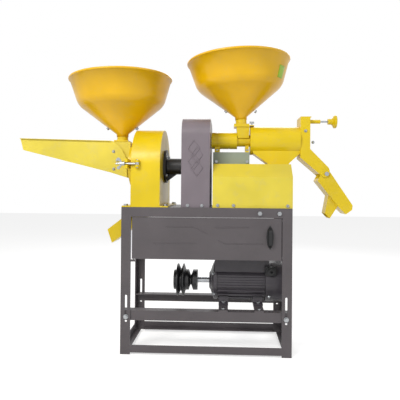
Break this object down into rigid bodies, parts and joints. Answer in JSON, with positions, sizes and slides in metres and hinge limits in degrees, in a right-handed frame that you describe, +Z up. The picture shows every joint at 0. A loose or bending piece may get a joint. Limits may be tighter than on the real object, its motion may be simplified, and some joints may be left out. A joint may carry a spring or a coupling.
{
  "type": "rice huller",
  "caption": "Combined rice huller on an angle-iron stand: mill head with hopper and outlet chutes, claw crusher with feed tray and hopper, belt guard and motor below.",
  "frame": {"origin": "on the floor under the middle of the stand's footprint", "axes": "+X to the right along the shafts, from the feed tray to the rice outlet; +Y to the rear, away from the front door; +Z up"},
  "size_m": [1.4275, 0.45, 1.2401],
  "materials": {
    "yellow_paint": "gloss enamel",
    "grey_paint": "satin enamel",
    "bracket_paint": "satin enamel",
    "motor_paint": "satin enamel",
    "black_paint": "satin enamel",
    "black_plastic": "moulded",
    "zinc": "zinc plated",
    "bright_steel": "turned",
    "cast_iron": "as cast",
    "flap_steel": "rolled"
  },
  "bodies": {
    "stand": {"legs": "grey_paint", "top_rails": "grey_paint", "foot_rails": "grey_paint", "table_plate": "grey_paint", "table_screws": "zinc", "door_fittings": "grey_paint", "belt_guard": "grey_paint", "crusher_drum": "yellow_paint", "crusher_screen": "bright_steel", "crusher_bearing_housing": "black_paint", "crusher_bearings": "bright_steel", "crusher_pins": "zinc", "discharge_chute": "yellow_paint", "mill_bracket": "bracket_paint", "mill_housing": "yellow_paint", "mill_bearings": "bright_steel", "rice_sieve": "bright_steel", "bran_cover": "yellow_paint", "base_cover": "yellow_paint", "outlet_head": "yellow_paint", "machine_bolts": "zinc", "right_neck": "yellow_paint", "right_hopper": "yellow_paint"},
    "front_door": {"front_door": "grey_paint", "door_handle": "black_plastic"},
    "motor_bed": {"bed_rails": "grey_paint", "bed_bars": "grey_paint", "bed_bolts": "zinc", "motor_stator": "motor_paint", "motor_shield": "motor_paint", "motor_fan_cover": "motor_paint", "capacitor_box": "motor_paint", "cable_gland": "black_plastic", "motor_bearings": "bright_steel"},
    "motor_rotor": {"motor_shaft": "bright_steel", "motor_fan": "black_plastic", "motor_pulley": "black_paint"},
    "crusher_rotor": {"crusher_shaft": "bright_steel", "claw_rotor": "cast_iron", "crusher_pulley": "cast_iron"},
    "crusher_door": {"crusher_door": "yellow_paint", "fixed_claws": "cast_iron", "inlet_box": "yellow_paint", "feed_tray": "yellow_paint", "left_neck": "yellow_paint", "left_hopper": "yellow_paint"},
    "latch": {"latch_rod": "zinc", "latch_nut": "zinc"},
    "mill_rotor": {"mill_shaft": "bright_steel", "mill_roller": "cast_iron", "mill_pulley": "cast_iron"},
    "left_gate": {"left_gate": "yellow_paint"},
    "right_gate": {"right_gate": "yellow_paint", "gate_screw": "zinc"},
    "pressure_screw": {"pressure_screw": "zinc"},
    "pressure_knob": {"pressure_knob": "yellow_paint"},
    "pressure_flap": {"pressure_flap": "flap_steel"},
    "lower_chute": {"lower_chute": "yellow_paint"}
  },
  "joints": [
    {"name": "front_door_hinge", "type": "hinge", "parent": "stand", "child": "front_door", "pos_m": [-0.294, -0.153, 0.47], "axis": [0, 0, -1], "range_deg": [0, 110]},
    {"name": "bed_slide", "type": "slide", "parent": "stand", "child": "motor_bed", "axis": [0, 0, 1], "range_m": [-0.015, 0.08]},
    {"name": "motor_spin", "type": "hinge", "parent": "motor_bed", "child": "motor_rotor", "pos_m": [0.1, 0, 0.273], "axis": [1, 0, 0], "continuous": true},
    {"name": "crusher_spin", "type": "hinge", "parent": "stand", "child": "crusher_rotor", "pos_m": [-0.15, 0, 0.768], "axis": [1, 0, 0], "continuous": true},
    {"name": "mill_spin", "type": "hinge", "parent": "stand", "child": "mill_rotor", "pos_m": [0.15, 0, 0.882], "axis": [1, 0, 0], "continuous": true},
    {"name": "crusher_door_hinge", "type": "hinge", "parent": "stand", "child": "crusher_door", "pos_m": [-0.322, 0.128, 0.768], "axis": [0, 0, -1], "range_deg": [0, 100]},
    {"name": "latch_swing", "type": "hinge", "parent": "stand", "child": "latch", "pos_m": [-0.281, -0.167, 0.771], "axis": [0, 0, 1], "range_deg": [0, 100]},
    {"name": "left_gate_slide", "type": "slide", "parent": "crusher_door", "child": "left_gate", "axis": [0, -1, 0], "range_m": [0, 0.056]},
    {"name": "right_gate_slide", "type": "slide", "parent": "stand", "child": "right_gate", "axis": [1, 0, 0], "range_m": [0, 0.052]},
    {"name": "pressure_screw_feed", "type": "slide", "parent": "stand", "child": "pressure_screw", "axis": [-1, 0, 0], "range_m": [0, 0.0097]},
    {"name": "pressure_knob_turn", "type": "hinge", "parent": "pressure_screw", "child": "pressure_knob", "pos_m": [0.536, 0, 0.967], "axis": [-1, 0, 0], "range_deg": [0, 2765]},
    {"name": "pressure_flap_swing", "type": "hinge", "parent": "stand", "child": "pressure_flap", "pos_m": [0.414, 0, 0.9205], "axis": [0, -1, 0], "range_deg": [0, 13]},
    {"name": "lower_chute_swing", "type": "hinge", "parent": "stand", "child": "lower_chute", "pos_m": [0.5036, 0, 0.7386], "axis": [0, -1, 0], "range_deg": [-15, 40]}
  ],
  "couplings": [
    {"joint": "pressure_screw_feed", "follows": "pressure_knob_turn", "m_per_rad": 0.00019894},
    {"joint": "pressure_flap_swing", "follows": "pressure_knob_turn", "ratio": 0.0046655}
  ]
}
